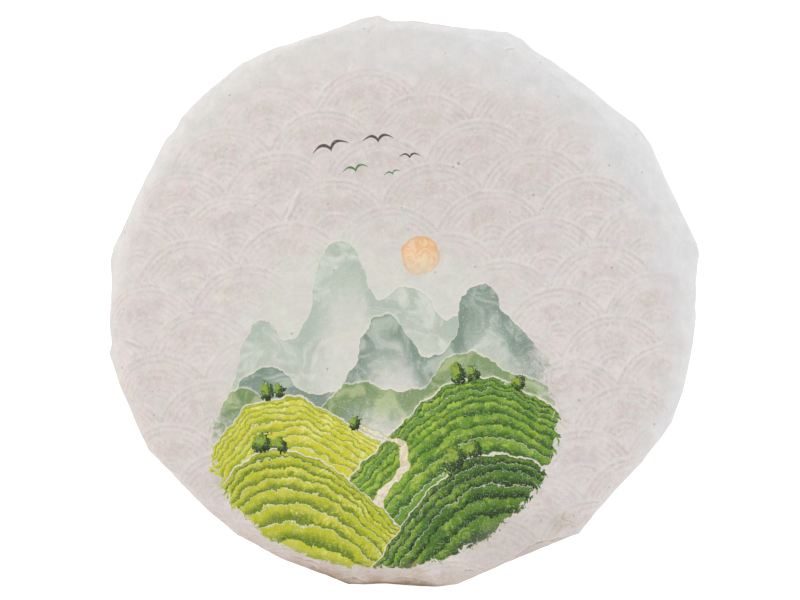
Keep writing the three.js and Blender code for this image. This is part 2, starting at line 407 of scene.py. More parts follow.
    # ---- underneath: laps of paper, the dimple, and the tucked end
    below = smooth(1.75, 2.15, kind)
    rr = np.hypot(x, y)
    width = 2.5 + (100 - rr) * np.radians(span)[None, :] * 0.36 * lap[which][None, :]
    arc = np.radians(past)[None, :] * np.maximum(rr, 6)
    cover = 1 - smooth(0.82, 1.0, arc / width)
    wave = ripples(np.broadcast_to(t * 60, x.shape), rr, 21, 3, 16)
    relief = 0.46 * (1 - cover) + 0.10 * np.abs(wave) + 0.16 * smooth(0.0, 1.0, arc / width) * cover
    bowl = smooth(FOOT_INNER, 12.0, rr)
    knot = np.clip(1 - rr / (KNOT_RADIUS * 1.5), 0, 1)
    knot = KNOT_RISE * knot * knot * (3 - 2 * knot)
    frill = bowl * (0.42 * ripples(np.broadcast_to(t * 14, x.shape), rr * 0.7, 22, 1.6, 5)
                    + 0.35 * np.sin(t * 13 + rr * 0.5))
    knurl = smooth(KNOT_RADIUS * 1.5, 2.0, rr) * 0.35 * np.sin(5 * t - rr * 1.1)
    z += below * np.maximum(relief * (1 - 0.3 * bowl) + DIMPLE_DEPTH * bowl - knot + frill + knurl, 0.0)
    z = np.maximum(z, 0.0)

    # ---- the flat sheet: distance along the paper from the middle of the print
    step = np.sqrt(np.diff(x, axis=0) ** 2 + np.diff(y, axis=0) ** 2 + np.diff(z, axis=0) ** 2)
    s = np.vstack([np.hypot(x[0], y[0])[None, :], step]).cumsum(0)
    flat_u, flat_v = s * np.cos(t), s * np.sin(t)

    low = np.array([x.min(), y.min()])
    high = np.array([x.max(), y.max()])
    mid = (low + high) / 2
    print("edge box", low, high)
    co = np.stack([x - mid[0], y - mid[1], z], -1)            # rings, columns, 3
    top_z = HEIGHT - 0.28 + 0.12 * 0.3
    co = np.concatenate([co.transpose(1, 0, 2).reshape(-1, 3),
                         [[-mid[0], -mid[1], top_z], [-mid[0], -mid[1], z[-1].mean()]]])
    flat = np.stack([flat_u - mid[0], flat_v - mid[1]], -1).transpose(1, 0, 2).reshape(-1, 2)
    flat = np.concatenate([flat, [[-mid[0], -mid[1]], [-mid[0], -mid[1]]]])

    c = np.arange(C)
    a, b = c * M, ((c + 1) % C) * M
    quads = []
    for j in range(M - 1):
        quads.append(np.stack([a + j, a + j + 1, b + j + 1, b + j], 1))
    quads = np.concatenate(quads)
    ring_of = np.repeat(np.arange(M - 1), C)
    top_tri = np.stack([np.full(C, C * M), a, b], 1)
    foot_tri = np.stack([np.full(C, C * M + 1), b + M - 1, a + M - 1], 1)

    me = bpy.data.meshes.new("paper_wrapper")
    loops = np.concatenate([quads.ravel(), top_tri.ravel(), foot_tri.ravel()]).astype(np.int32)
    sizes = np.concatenate([np.full(len(quads), 4), np.full(2 * C, 3)]).astype(np.int32)
    me.vertices.add(len(co))
    me.vertices.foreach_set("co", (co * MM).astype(np.float32).ravel())
    me.loops.add(len(loops))
    me.loops.foreach_set("vertex_index", loops)
    me.polygons.add(len(sizes))
    me.polygons.foreach_set("loop_start", np.r_[0, sizes.cumsum()[:-1]].astype(np.int32))
    me.update(calc_edges=True)
    me.validate()

    at = me.attributes.new("flat", "FLOAT_VECTOR", "POINT")
    at.data.foreach_set("vector", np.c_[flat, np.zeros(len(flat))].astype(np.float32).ravel())
    for name, (one, two) in (("crimp", crimp), ("crimp_shading", crimp_shading)):
        pair = np.stack([one.T.reshape(-1), two.T.reshape(-1), np.zeros(one.size)], -1)
        at = me.attributes.new(name, "FLOAT_VECTOR", "POINT")
        at.data.foreach_set("vector", np.r_[pair, np.zeros((2, 3))].astype(np.float32).ravel())
    for name, value in (("stain_and_shade", stain_and_shade), ("edge_shade", edge_shade), ("lean_shade", lean_shade)):
        at = me.attributes.new(name, "FLOAT", "POINT")
        at.data.foreach_set("value", np.r_[value.T.reshape(-1), 0.0, 0.0].astype(np.float32))

    # ---- a map for textures: the printed side on one disc, the underside on another
    split = TOP + RIM - 1
    total = s[split]
    up_uv = np.stack([s * np.cos(t), s * np.sin(t)], -1) / 113.0 * 0.352 + 0.357
    back = s[-1] - s + 1.2
    low_uv = np.stack([-back * np.cos(t), back * np.sin(t)], -1) / 113.0 * 0.212 + 0.785
    face_low = np.concatenate([ring_of >= split, np.zeros(C, bool), np.ones(C, bool)])
    loop_low = np.repeat(face_low, sizes)
    up_v = np.concatenate([up_uv.transpose(1, 0, 2).reshape(-1, 2), [[0.357, 0.357], [0.357, 0.357]]])
    low_v = np.concatenate([low_uv.transpose(1, 0, 2).reshape(-1, 2), [[0.785, 0.785], [0.785, 0.785]]])
    uv = np.where(loop_low[:, None], low_v[loops], up_v[loops])
    layer_uv = me.uv_layers.new(name="OFBake")
    layer_uv.uv.foreach_set("vector", uv.astype(np.float32).ravel())

    me.polygons.foreach_set("use_smooth", np.ones(len(sizes), bool))
    me.set_sharp_from_angle(angle=rad(42))
    ob = bpy.data.objects.new("paper_wrapper", me)
    bpy.context.collection.objects.link(ob)
    print("wrapper:", len(co), "points,", len(quads) * 2 + 2 * C, "triangles", total.max())
    return ob


# ------------------------------------------------------------------ node maths
class Sum:
    """A socket that can be added, multiplied and so on."""

    def __init__(self, net, socket):
        self.net, self.socket = net, socket

    def _do(self, op, *others, clamp=False):
        return self.net.math(op, self, *others, clamp=clamp)

    def __add__(self, o): return self._do("ADD", o)
    def __radd__(self, o): return self._do("ADD", o)
    def __sub__(self, o): return self._do("SUBTRACT", o)
    def __rsub__(self, o): return self.net.math("SUBTRACT", o, self)
    def __mul__(self, o): return self._do("MULTIPLY", o)
    def __rmul__(self, o): return self._do("MULTIPLY", o)
    def __truediv__(self, o): return self._do("DIVIDE", o)
    def __neg__(self): return self._do("MULTIPLY", -1.0)


class Net:
    def __init__(self, tree):
        self.tree = tree
        self.count = 0

    def node(self, kind, **settings):
        n = self.tree.nodes.new(kind)
        self.count += 1
        n.location = ((self.count % 24) * 190, -(self.count // 24) * 260)
        for k, v in settings.items():
            setattr(n, k, v)
        return n

    def put(self, socket, value):
        if isinstance(value, Sum):
            self.tree.links.new(value.socket, socket)
        elif value is not None:
            socket.default_value = value

    def math(self, op, *values, clamp=False):
        n = self.node("ShaderNodeMath", operation=op, use_clamp=clamp)
        for k, v in enumerate(values):
            self.put(n.inputs[k], v)
        return Sum(self, n.outputs[0])

    def vmath(self, op, *values):
        n = self.node("ShaderNodeVectorMath", operation=op)
        for k, v in enumerate(values):
            self.put(n.inputs[k], v)
        return Sum(self, n.outputs["Value" if op in ("DISTANCE", "LENGTH", "DOT_PRODUCT") else "Vector"])

    def abs(self, x): return self.math("ABSOLUTE", x)
    def min(self, a, b): return self.math("MINIMUM", a, b)
    def max(self, a, b): return self.math("MAXIMUM", a, b)
    def line(self, x, gain, base): return self.math("MULTIPLY_ADD", x, gain, base)

    def step(self, x, low, high, to_low=0.0, to_high=1.0):
        n = self.node("ShaderNodeMapRange", interpolation_type="SMOOTHSTEP")
        for k, v in enumerate((x, low, high, to_low, to_high)):
            self.put(n.inputs[k], v)
        return Sum(self, n.outputs[0])

    def ramp(self, x, low, high, to_low=0.0, to_high=1.0):
        n = self.node("ShaderNodeMapRange", interpolation_type="LINEAR", clamp=True)
        for k, v in enumerate((x, low, high, to_low, to_high)):
            self.put(n.inputs[k], v)
        return Sum(self, n.outputs[0])

    def vec(self, x, y, z=0.0):
        n = self.node("ShaderNodeCombineXYZ")
        for k, v in enumerate((x, y, z)):
            self.put(n.inputs[k], v)
        return Sum(self, n.outputs[0])

    def split(self, v):
        n = self.node("ShaderNodeSeparateXYZ")
        self.put(n.inputs[0], v)
        return [Sum(self, o) for o in n.outputs]

    def noise(self, at, scale, detail=2.0, rough=0.5, colour=False, warp=0.0, away=0.0):
        """Noise over the sheet; away moves it to a place of its own."""
        if away:
            at = self.vmath("ADD", at, (away, away * 0.7, 0.0))
        n = self.node("ShaderNodeTexNoise", noise_dimensions="2D")
        self.put(n.inputs["Vector"], at)
        n.inputs["Scale"].default_value = scale
        n.inputs["Detail"].default_value = detail
        n.inputs["Roughness"].default_value = rough
        n.inputs["Distortion"].default_value = warp
        return Sum(self, n.outputs["Color" if colour else "Fac"])

    def dice(self, w):
        """A number from 0 to 1 for each whole number."""
        n = self.node("ShaderNodeTexWhiteNoise", noise_dimensions="1D")
        self.put(n.inputs["W"], w)
        return Sum(self, n.outputs["Value"])

    def curve(self, x, points, smooth_=True):
        """A float curve through points, from their lowest x to their highest."""
        lo, hi = points[0][0], points[-1][0]
        ys = [p[1] for p in points]
        y0, y1 = min(ys), max(ys)
        n = self.node("ShaderNodeFloatCurve")
        c = n.mapping.curves[0]
        n.mapping.use_clip = False
        spots = [((px - lo) / (hi - lo), (py - y0) / max(y1 - y0, 1e-9)) for px, py in points]
        c.points[0].location, c.points[1].location = spots[0], spots[-1]
        for p in spots[1:-1]:
            c.points.new(*p)
        for p in c.points:
            p.handle_type = "AUTO_CLAMPED" if smooth_ else "VECTOR"
        n.mapping.update()
        n.inputs["Factor"].default_value = 1.0
        self.put(n.inputs["Value"], self.ramp(x, lo, hi))
        return self.line(Sum(self, n.outputs[0]), y1 - y0, y0)

    def mix(self, f, a, b, kind="MIX"):
        n = self.node("ShaderNodeMix", data_type="RGBA", blend_type=kind, clamp_factor=True)
        self.put(n.inputs[0], f)
        for k, v in ((6, a), (7, b)):
            self.put(n.inputs[k], v if isinstance(v, Sum) else (*v, 1.0))
        return Sum(self, n.outputs[2])


def lin(*rgb):
    """Linear colour from 0 to 255 display values."""
    return tuple((c / 12.92 if c <= 0.04045 else ((c + 0.055) / 1.055) ** 2.4)
                 for c in (v / 255 for v in rgb))


PAPER_GAIN = 0.90     # how much light the face sends back, against how it displays


def paint(*rgb):
    return tuple(c * PAPER_GAIN for c in lin(*rgb))


def turned(x, y, angle):
    c, s = math.cos(angle), math.sin(angle)
    return x * c + y * s, y * c - x * s


def wave_scales(net, x, y):
    """Rows of overlapping scales. The rings of each are strong at its outside, run on
    at its sides only, and start again as three small ones inside. Gives the ink,
    below 0 where the paper shows lighter, masks of the blotched middle and of the small
    motif in it, the place within the scale, and a mask of its pale outer border."""
    ox, oy = turned(*WAVE_ORIGIN, PRINT_TURN)
    p, q = x - ox, y - oy
    row0 = net.math("CEIL", (q - WAVE_CLIP) / WAVE_ROW)

    def reach(row):
        half = net.math("FLOORED_MODULO", row, 2.0)
        u = net.math("WRAP", net.line(half, -WAVE_WIDE / 2, p), WAVE_WIDE / 2, -WAVE_WIDE / 2)
        return net.vec(u, net.line(row, -WAVE_ROW, q))

    first, second = reach(row0), reach(row0 + 1.0)
    front = net.math("LESS_THAN", net.vmath("LENGTH", first), WAVE_CLIP)
    n = net.node("ShaderNodeMix", data_type="VECTOR")
    net.put(n.inputs[0], front)
    net.put(n.inputs[4], second)
    net.put(n.inputs[5], first)
    place = Sum(net, n.outputs[1])
    d = net.vmath("LENGTH", place)
    u, v, _ = net.split(place)

    def profile(strengths, flat_from=None, flat_to=None, flat_at=0.0):
        points = [(0.0, -0.9), (2.2, -0.7)]
        for k, s in enumerate(strengths):
            r = WAVE_FIRST + k * WAVE_STEP
            gap = -0.15 if k < 2 else -0.5
            if flat_from is not None and flat_from < r < flat_to:
                points += [(r - 0.5, flat_at), (r + 0.5, flat_at)]
                continue
            points += [(r - 0.46, 0.30 * s), (r, s), (r + 0.46, 0.30 * s), (r + WAVE_STEP / 2, gap)]
        points = [q for q in points if q[0] < 19.4] + [(19.8, -0.95), (20.45, -1.0)]
        return net.curve(d, points)

    sides = profile([0.8, 1.0, 1.0, 0.25, 0.45, 0.65, 0.8, 0.9, 1.0])
    centre = profile([0.8, 1.0, 1.0, 0, 0, 0, -0.6, 0.8, 1.0], 8.5, 14.0, 0.20)
    flank = net.step(net.abs(u), 5.2, 7.4)
    ink = net.line(sides - centre, flank, centre)
    # the blotched middle, and a small blossom in it between two dots
    middle = (net.step(d, 8.2, 9.6) * net.step(d, 13.6, 15.0, 1.0, 0.0) * (1.0 - flank))
    w = v - 11.6
    far = net.vmath("LENGTH", net.vec(u, w))
    petals = net.math("COSINE", net.math("ARCTAN2", u, w) * 5.0)
    r = net.line(petals, -0.60, far)
    bloom = net.step(net.abs(r - 2.15), 0.30, 0.85, 1.0, 0.0)
    bloom = net.max(bloom, net.step(far, 0.5, 1.0, 1.0, 0.0))
    beside = net.vmath("LENGTH", net.vec(net.abs(u) - 4.7, w + 0.9))
    bloom = net.max(bloom, net.step(beside, 0.6, 1.25, 1.0, 0.0))
    return ink, middle, bloom, place, net.step(d, 18.9, 19.7)


def landscape(net, x, y, under):
    """A painted landscape on the sheet: humped hills in mist, terraces of bushes, a
    path and a few trees, each shape a wash with pigment gathered at its edge."""
    at = net.vec(x, y)
    coarse = net.noise(at, 0.16, 2.0, 0.55, colour=True, away=31.0)
    fine = net.noise(at, 1.0, 1.0, 0.5, colour=True, away=57.0)
    nx, ny, nz = net.split(fine)
    az = net.split(coarse)[2]
    moved = net.vmath("MULTIPLY_ADD", coarse, (3.2, 3.2, 0.0), at)
    moved = net.vmath("MULTIPLY_ADD", fine, (0.55, 0.55, 0.0), moved)
    spot = net.vmath("SUBTRACT", moved, (1.875, 1.875, 0.0))
    X, Y, _ = net.split(spot)
    blot = net.noise(at, 0.11, 4.0, 0.60, warp=0.8, away=85.0)
    wet = net.noise(at, 0.30, 3.0, 0.60, warp=1.2, away=113.0)

    CREAM = paint(228, 221, 204)
    oval = net.vmath("LENGTH", net.vmath("MULTIPLY_ADD", spot, (1 / 59.0, 1 / 50.0, 0.0), (0.0, 0.2, 0.0)))
    field = net.line(wet, 0.16, 0.92) - oval
    in_field = net.step(field, 0.0, 0.012)
    high = net.vmath("LENGTH", net.vmath("MULTIPLY_ADD", spot, (1 / 62.0, 1 / 56.0, 0.0),
                                         (0.0, -8.0 / 56.0, 0.0)))
    sky = net.step(net.line(blot, 0.5, high), 0.80, 1.25, 0.75, 0.0)

    out = net.mix(sky, under, paint(212, 214, 204))

    # the sun, low over the far hills
    sd = net.vmath("DISTANCE", spot, (21.0, 43.0, 0.0))
    disc = net.step(sd, 6.25, 6.6, 1.0, 0.0)
    sun = net.mix(net.step(wet, 0.36, 0.62), paint(241, 208, 162), paint(234, 178, 120))
    sun = net.mix(net.step(sd, 5.2, 6.4, 0.0, 0.8), sun, paint(224, 160, 104))
    out = net.mix(disc * net.step(Y, 36.0, 45.0, 0.45, 0.82), out, sun)

    def range_(under, ridge, light, dark, deep, strength, ends):
        d = net.curve(X, ridge) - Y
        tone = net.mix(net.step(net.line(d, 0.004, blot), 0.36, 0.60), light, dark)
        tone = net.mix(net.step(d, 0.0, 1.3, 0.55, 0.0), tone, dark)
        fade = net.step(net.line(wet, 9.0, d), 6.5, deep + 4.5, 1.0, 0.0)
        side = net.step(net.line(wet, 16.0, net.abs(X)), ends - 4.0, ends + 8.0, 1.0, 0.0)
        pale = net.step(d, -0.8, -0.3) * net.step(d, 0.0, 0.2, 0.55, 0.0)
        under = net.mix(pale * side, under, CREAM)
        return net.mix(net.step(d, 0.0, 0.22, 0.0, strength) * fade * side, under, tone)

    out = range_(out, [(-60, 0), (-48, 10), (-41, 25), (-34, 30), (-28, 22), (-21, 26),
                       (-13, 45), (-6, 52), (1, 44), (6, 30), (13, 33), (20, 30), (27, 20),
                       (36, 23), (43, 15), (60, 2)],
                 paint(206, 211, 200), paint(172, 186, 172), 34.0, 0.85, 58.0)
    out = range_(out, [(-60, -6), (-50, 4), (-42, 12), (-35, 14), (-27, 6), (-18, 2),
                       (-8, 8), (0, 22), (6, 25), (12, 18), (19, 9), (27, 13), (33, 27),
                       (39, 30), (45, 20), (53, 8), (60, -2)],
                 paint(172, 184, 170), paint(118, 140, 126), 26.0, 0.90, 60.0)
    out = range_(out, [(-60, -4), (-53, 2), (-46, 8), (-38, 2), (-28, -4), (-16, 0),
                       (-8, 4), (2, 0), (12, -2), (22, 6), (30, 8), (40, 2), (50, -4), (60, -8)],
                 paint(168, 182, 130), paint(120, 146, 92), 18.0, 0.9, 60.0)

    def hill(under, ridge, first, grow, seed, light, mid, dark, shade):
        """A hill with rows of bushes that get larger towards the viewer."""
        d = net.curve(X, ridge) - Y
        bumpy = net.line(az, 3.0, net.line(nz, first * 0.5, d)) - (1.5 + first * 0.25)
        k = net.math("LOGARITHM", net.line(net.max(bumpy, 0.0), (grow - 1) / first, 1.0), grow)
        row, t = net.math("FLOOR", k), net.math("FRACT", k)
        luck = net.dice(row + seed)
        lit = net.mix(net.step(net.line(luck, 0.22, blot), 0.51, 0.69), light, mid)
        tone = net.mix(net.step(net.line(ny, 0.9, t), 0.75, 1.17), lit, mid)
        tone = net.mix(net.step(net.line(nx, 0.5, t), 0.91, 1.17) * net.line(luck, 0.55, 0.45), tone, dark)
        tone = net.mix(net.step(net.line(X, shade, wet), 0.50, 0.66, 0.0, 0.7), tone,
                       net.mix(net.step(t, 0.25, 0.8), mid, dark))
        gap = net.step(t, 0.0, 0.10, 0.75, 0.0) * net.step(luck, 0.35, 0.45)
        tone = net.mix(gap, tone, CREAM)
        tone = net.mix(net.step(d, 0.0, 0.9, 0.75, 0.0), tone, dark)
        tone = net.mix(net.step(field, 0.0, 0.03, 0.8, 0.0), tone, mid)
        pale = net.step(d, -0.75, -0.35) * net.step(d, 0.0, 0.15, 0.85, 0.0)
        under = net.mix(pale * in_field, under, CREAM)
        return net.mix(net.step(d, 0.0, 0.22) * in_field, under, tone)

    YL, YM, YD = paint(229, 225, 138), paint(203, 202, 52), paint(142, 160, 38)
    GL, GM, GD = paint(160, 184, 66), paint(104, 146, 44), paint(50, 84, 38)
    DD = paint(42, 50, 30)
    out = hill(out, [(-60, -12), (-50, -3), (-40, 3), (-30, 3), (-20, -3), (-8, -12),
                     (4, -22), (20, -34), (60, -60)],
               1.5, 1.16, 3.0, YL, YM, YD, -0.004)
    out = hill(out, [(-60, -60), (-24, -34), (-8, -22), (4, -13), (16, -5), (28, -1),
                     (38, -2), (48, -8), (60, -18)],
               1.7, 1.17, 17.0, GL, GM, GD, 0.004)

    # a path that winds down between the hills
    px = net.curve(Y, [(-60, 14), (-50, 2), (-42, -8), (-34, -5), (-27, 4), (-20, 5),
                       (-15, -2), (-11, -6), (-6, -10)])
    off = net.abs(X - px) - net.ramp(Y, -60.0, -6.0, 3.6, 0.35)
    low = net.step(Y, -8.0, -6.0, 1.0, 0.0) * in_field
    out = net.mix(net.step(off, 0.0, 1.1, 0.5, 0.0) * low, out, YD)
    out = net.mix(net.step(off, -0.1, 0.15, 1.0, 0.0) * low, out,
                  net.mix(net.step(wet, 0.4, 0.6), paint(230, 222, 200), paint(214, 200, 168)))

    out = hill(out, [(-60, -26), (-50, -17), (-40, -14), (-28, -17), (-18, -24), (-8, -36),
                     (0, -46), (10, -56), (60, -80)],
               2.4, 1.20, 31.0, paint(224, 220, 110), paint(184, 190, 40), paint(96, 124, 34), -0.006)
    out = hill(out, [(-60, -90), (-14, -60), (-4, -50), (6, -40), (18, -31), (30, -27),
                     (42, -29), (52, -36), (60, -44)],
               2.6, 1.22, 47.0, paint(132, 162, 54), paint(76, 116, 40), paint(36, 56, 30), 0.007)

    # trees
    trees = [(-37, 6.2, 2.6), (-32.5, 5.6, 1.9), (-9.5, -9.0, 2.2), (27, 1.6, 2.9), (31.5, 0.6, 2.1),
             (46, -5.0, 2.3), (-41, -11.0, 3.4), (-35.5, -12.4, 2.6), (21, -26.5, 3.8), (27.5, -24.5, 2.8)]
    near = glow = None
    for tx, ty, tr in trees:
        q = net.vmath("LENGTH", net.vmath("MULTIPLY_ADD", spot, (1 / tr, 0.87 / tr, 0.0),
                                          (-tx / tr, -0.87 * ty / tr, 0.0)))
        g = net.vmath("LENGTH", net.vmath("MULTIPLY_ADD", spot, (1 / tr, 1 / tr, 0.0),
                                          (-tx / tr + 0.32, -ty / tr - 0.42, 0.0)))
        near = q if near is None else net.min(near, q)
        glow = g if glow is None else net.min(glow, g)
    rough = net.line(nz, 0.9, net.line(wet, 0.8, -0.85))
    crown = net.step(near + rough, 0.92, 1.0, 1.0, 0.0) * in_field
    leafy = net.mix(net.step(net.line(rough, 1.2, glow), 0.30, 0.85), paint(140, 164, 56), paint(54, 84, 38))
    leafy = net.mix(net.step(glow + rough, 0.9, 1.35), leafy, DD)
    out = net.mix(crown, out, leafy)

    cover = net.max(in_field * net.step(Y, -4.0, 6.0, 1.0, 0.0), crown)
    # pigment settles in the tooth of the paper, and here and there it is missing
    grit = net.noise(at, 2.6, 1.0, 0.65, away=141.0)
    tint = net.ramp(grit, 0.25, 0.75, 1.14, 0.86)
    out = net.mix(cover * 0.85, out, net.mix(1.0, out, net.vec(tint, tint, tint), kind="MULTIPLY"))
    bald = net.step(net.noise(at, 1.7, 2.0, 0.75, away=169.0), 0.655, 0.70, 0.0, 0.35)
    out = net.mix(cover * bald, out, CREAM)
    return out, cover


def bird(net, at, where, size, tilt):
    c, s = math.cos(tilt) / size, math.sin(tilt) / size
    place = net.vmath("SUBTRACT", at, (*where, 0.0))
    a = net.abs(net.vmath("DOT_PRODUCT", place, (c, s, 0.0)))
    v = net.vmath("DOT_PRODUCT", place, (-s, c, 0.0))
    wing = net.math("SINE", net.math("POWER", a, 0.75) * 2.9)
    thick = net.line(a, -0.11, 0.122)
    off = net.abs(net.line(wing, -0.34, v + 0.14)) - thick
    return net.step(off, -0.02, 0.04, 1.0, 0.0) * net.step(a, 0.96, 1.0, 1.0, 0.0)


def painted_crease_shading(net, at):
    """Folds pressed into the sheet: a painted highlight on one side of the line, painted shade on the other."""
    total = None
    for x0, y0, x1, y1, strength, width in CREASE_SHADING:
        dx, dy = x1 - x0, y1 - y0
        length = math.hypot(dx, dy)
        ux, uy = dx / length, dy / length
        place = net.vmath("SUBTRACT", at, ((x0 + x1) / 2, (y0 + y1) / 2, 0.0))
        along = net.abs(net.vmath("DOT_PRODUCT", place, (ux, uy, 0.0)))
        side = net.vmath("DOT_PRODUCT", place, (-uy / width, ux / width, 0.0))
        # a painted highlight line and a painted shade line next to each other
        shape = net.math("SINE", net.math("MAXIMUM", net.math("MINIMUM", side, math.pi), -math.pi))
        part = shape * net.step(along, length * 0.30, length * 0.52, strength, 0.0)
        total = part if total is None else total + part
    return total


def wrapper_material():
    mat = bpy.data.materials.new("wrapper_paper")
    mat.use_nodes = True
    tree = mat.node_tree
    tree.nodes.clear()
    net = Net(tree)
    flat = Sum(net, net.node("ShaderNodeAttribute", attribute_name="flat").outputs["Vector"])
    fx, fy, _ = net.split(flat)
    stain_and_shade = Sum(net, net.node("ShaderNodeAttribute", attribute_name="stain_and_shade").outputs["Fac"])
    edge_shade = Sum(net, net.node("ShaderNodeAttribute", attribute_name="edge_shade").outputs["Fac"])
    lean_shade = Sum(net, net.node("ShaderNodeAttribute", attribute_name="lean_shade").outputs["Fac"])
    c, s = math.cos(PRINT_TURN), math.sin(PRINT_TURN)
    px = net.vmath("DOT_PRODUCT", flat, (c, s, 0.0))
    py = net.vmath("DOT_PRODUCT", flat, (-s, c, 0.0))

    # ---- the sheet itself: thin and cloudy, with darker leaf behind it
    cloud = net.noise(flat, 0.030, 2.0, 0.5)
    patch = net.noise(flat, 0.16, 2.0, 0.55, warp=0.4, away=7.0)
    patched = net.step(patch, 0.35, 0.70)
    bare = net.mix(net.step(fx, -50.0, 55.0), net.mix(patched, *[paint(*c) for c in BARE_LEFT]),
                   net.mix(patched, *[paint(*c) for c in BARE_RIGHT]))
    washed = net.mix(net.step(fx, 10.0, 75.0), net.mix(patched, *[paint(*c) for c in WASHED_LEFT]),
                     net.mix(patched, *[paint(*c) for c in WASHED_RIGHT]))
    # a little darker above the middle
    above_middle = net.step(net.vmath("LENGTH", net.vmath("MULTIPLY_ADD", flat, (1.0, 1.5, 0.0), (-12.0, -63.0, 0.0))),
                     14.0, 76.0, 0.052, 0.0)
    washed = net.mix(above_middle, washed, (0.0, 0.0, 0.0))

    # ---- the faint print, which stops scale by scale towards the edge of the sheet
    wob = net.noise(flat, 0.55, 2.0, 0.6, colour=True, away=13.0)
    wx, wy, _ = net.split(wob)
    ink, middle, bloom, place, border = wave_scales(net, net.line(wx, 1.0, px) - 0.5,
                                                    net.line(wy, 1.0, py) - 0.5)
    own = net.vmath("MULTIPLY_ADD", place, (-0.3, -0.3, 0.0), net.vec(px, py))
    cx, cy = turned(*PRINT_CENTRE, PRINT_TURN)
    from_middle = net.line(cloud, 9.0, net.line(patch, 4.0, net.vmath("DISTANCE", own, (cx, cy, 0.0)))) - 6.5
    # it reaches further out at the upper right, and less far at the top
    from_middle = from_middle + net.step(net.vmath("DISTANCE", flat, (53.0, 51.0, 0.0)), 6.0, 26.0, -4.4, 0.0)
    from_middle = from_middle + net.step(net.vmath("DISTANCE", flat, (14.0, 77.0, 0.0)), 5.0, 22.0, 2.0, 0.0)
    printed = net.step(from_middle, PRINT_RADIUS - 11.0, PRINT_RADIUS + 7.0, 1.0, 0.0)
    crisp = net.step(from_middle, PRINT_RADIUS - 10.0, PRINT_RADIUS + 4.0, 1.0, 0.0)
    broken = net.noise(flat, 0.50, 2.0, 0.74, colour=True, away=19.0)
    k0, k1, k2 = net.split(broken)
    weak = net.step(net.noise(flat, 0.12, 1.0, 0.5, away=23.0), 0.30, 0.60, 0.40, 1.0)
    worn = net.step(k0, 0.36, 0.56, 0.12, 1.0)
    blotch = net.noise(flat, 0.34, 2.0, 0.6, colour=True, away=29.0)
    b0, b1, b2 = net.split(blotch)
    colour = net.mix(printed, bare, washed)
    pinkish = net.mix(net.step(b1, 0.46, 0.62), paint(211, 194, 190), paint(206, 201, 190))
    colour = net.mix(middle * crisp * net.step(b0, 0.40, 0.58, 0.0, 0.58), colour, pinkish)
    tone = net.mix(net.step(b2, 0.42, 0.60), paint(198, 186, 182), paint(196, 187, 181))
    strong = crisp * weak * worn * net.step(fx, -40.0, 45.0, 0.86, 1.0)
    colour = net.mix(net.max(ink, bloom * 0.9) * strong * INK, colour, tone)
    colour = net.mix(ink * (crisp * weak) * -0.45, colour,
                     net.mix(border, paint(226, 218, 213), paint(222, 218, 216)))
    colour = net.mix(crisp * net.step(k1, 0.56, 0.68, 0.0, 0.26), colour, paint(230, 224, 220))
    colour = net.mix(crisp * net.step(k2, 0.57, 0.69, 0.0, 0.26), colour, paint(194, 179, 172))

    # ---- the painting
    ax, ay = turned(fx - ART_CENTRE[0], fy - ART_CENTRE[1], PRINT_TURN)
    colour, cover = landscape(net, ax, ay, colour)
    for bx, by, size, tilt, green in BIRDS:
        colour = net.mix(bird(net, flat, (bx, by), size, tilt + PRINT_TURN) * 0.92,
                         colour, paint(*((62, 122, 58) if green else (62, 56, 46))))

    # ---- specks of tea, a smudge, and tea stain with painted shade along the near edge
    dot = None
    for sx, sy, size in SPECKS:
        near = net.vmath("DISTANCE", flat, (sx, sy, 0.0)) / size
        dot = near if dot is None else net.min(dot, near)
    dot = net.step(net.line(wx, 0.8, dot), 0.65, 1.45, 0.60, 0.0)
    dust = net.node("ShaderNodeTexVoronoi", voronoi_dimensions="2D", feature="F1")
    net.put(dust.inputs["Vector"], flat)
    dust.inputs["Scale"].default_value = 0.085
    luck, dark, _ = net.split(Sum(net, dust.outputs["Color"]))
    grain = net.step(Sum(net, dust.outputs["Distance"]) / net.line(dark, 0.028, 0.014), 0.5, 1.3, 1.0, 0.0)
    dot = net.max(dot, grain * net.step(luck, 0.70, 0.75, 0.0, 0.45))
    colour = net.mix(dot, colour, paint(132, 108, 92))
    rub = net.vmath("LENGTH", net.vmath("MULTIPLY_ADD", flat, (1.0, 1.12, 0.0),
                                        (-SMUDGE[0], -1.12 * SMUDGE[1], 0.0)))
    smudge = net.step(net.line(b0, 5.0, rub), 4.2, 8.2, 1.0, 0.0)
    colour = net.mix(smudge * 0.26, colour, paint(192, 180, 164))
    colour = net.mix(smudge * net.step(k1, 0.52, 0.64, 0.0, 0.42), colour, paint(158, 142, 122))
    near_left = net.vmath("DOT_PRODUCT", flat, (-0.50, -0.87, 0.0))
    colour = net.mix(net.step(near_left, 32.0, 92.0), colour,
                     net.mix(1.0, colour, (0.996, 0.986, 0.984), kind="MULTIPLY"))
    colour = net.mix(net.step(fx, 66.0, 90.0), colour,
                     net.mix(1.0, colour, (0.997, 1.0, 1.004), kind="MULTIPLY"))
    # painted shade where the paper leans away from the light
    colour = net.mix(lean_shade, colour, paint(182, 174, 167))
    # tea stain and painted shade along the near edge
    colour = net.mix(stain_and_shade * net.ramp(k2, 0.3, 0.7, 0.72, 1.15), colour, paint(182, 162, 141))
    # painted shade in a dark line at the edge where the paper turns under, browner at the left
    colour = net.mix(edge_shade, colour, net.mix(net.step(fx, 12.0, 28.0), paint(118, 98, 82), paint(120, 113, 108)))

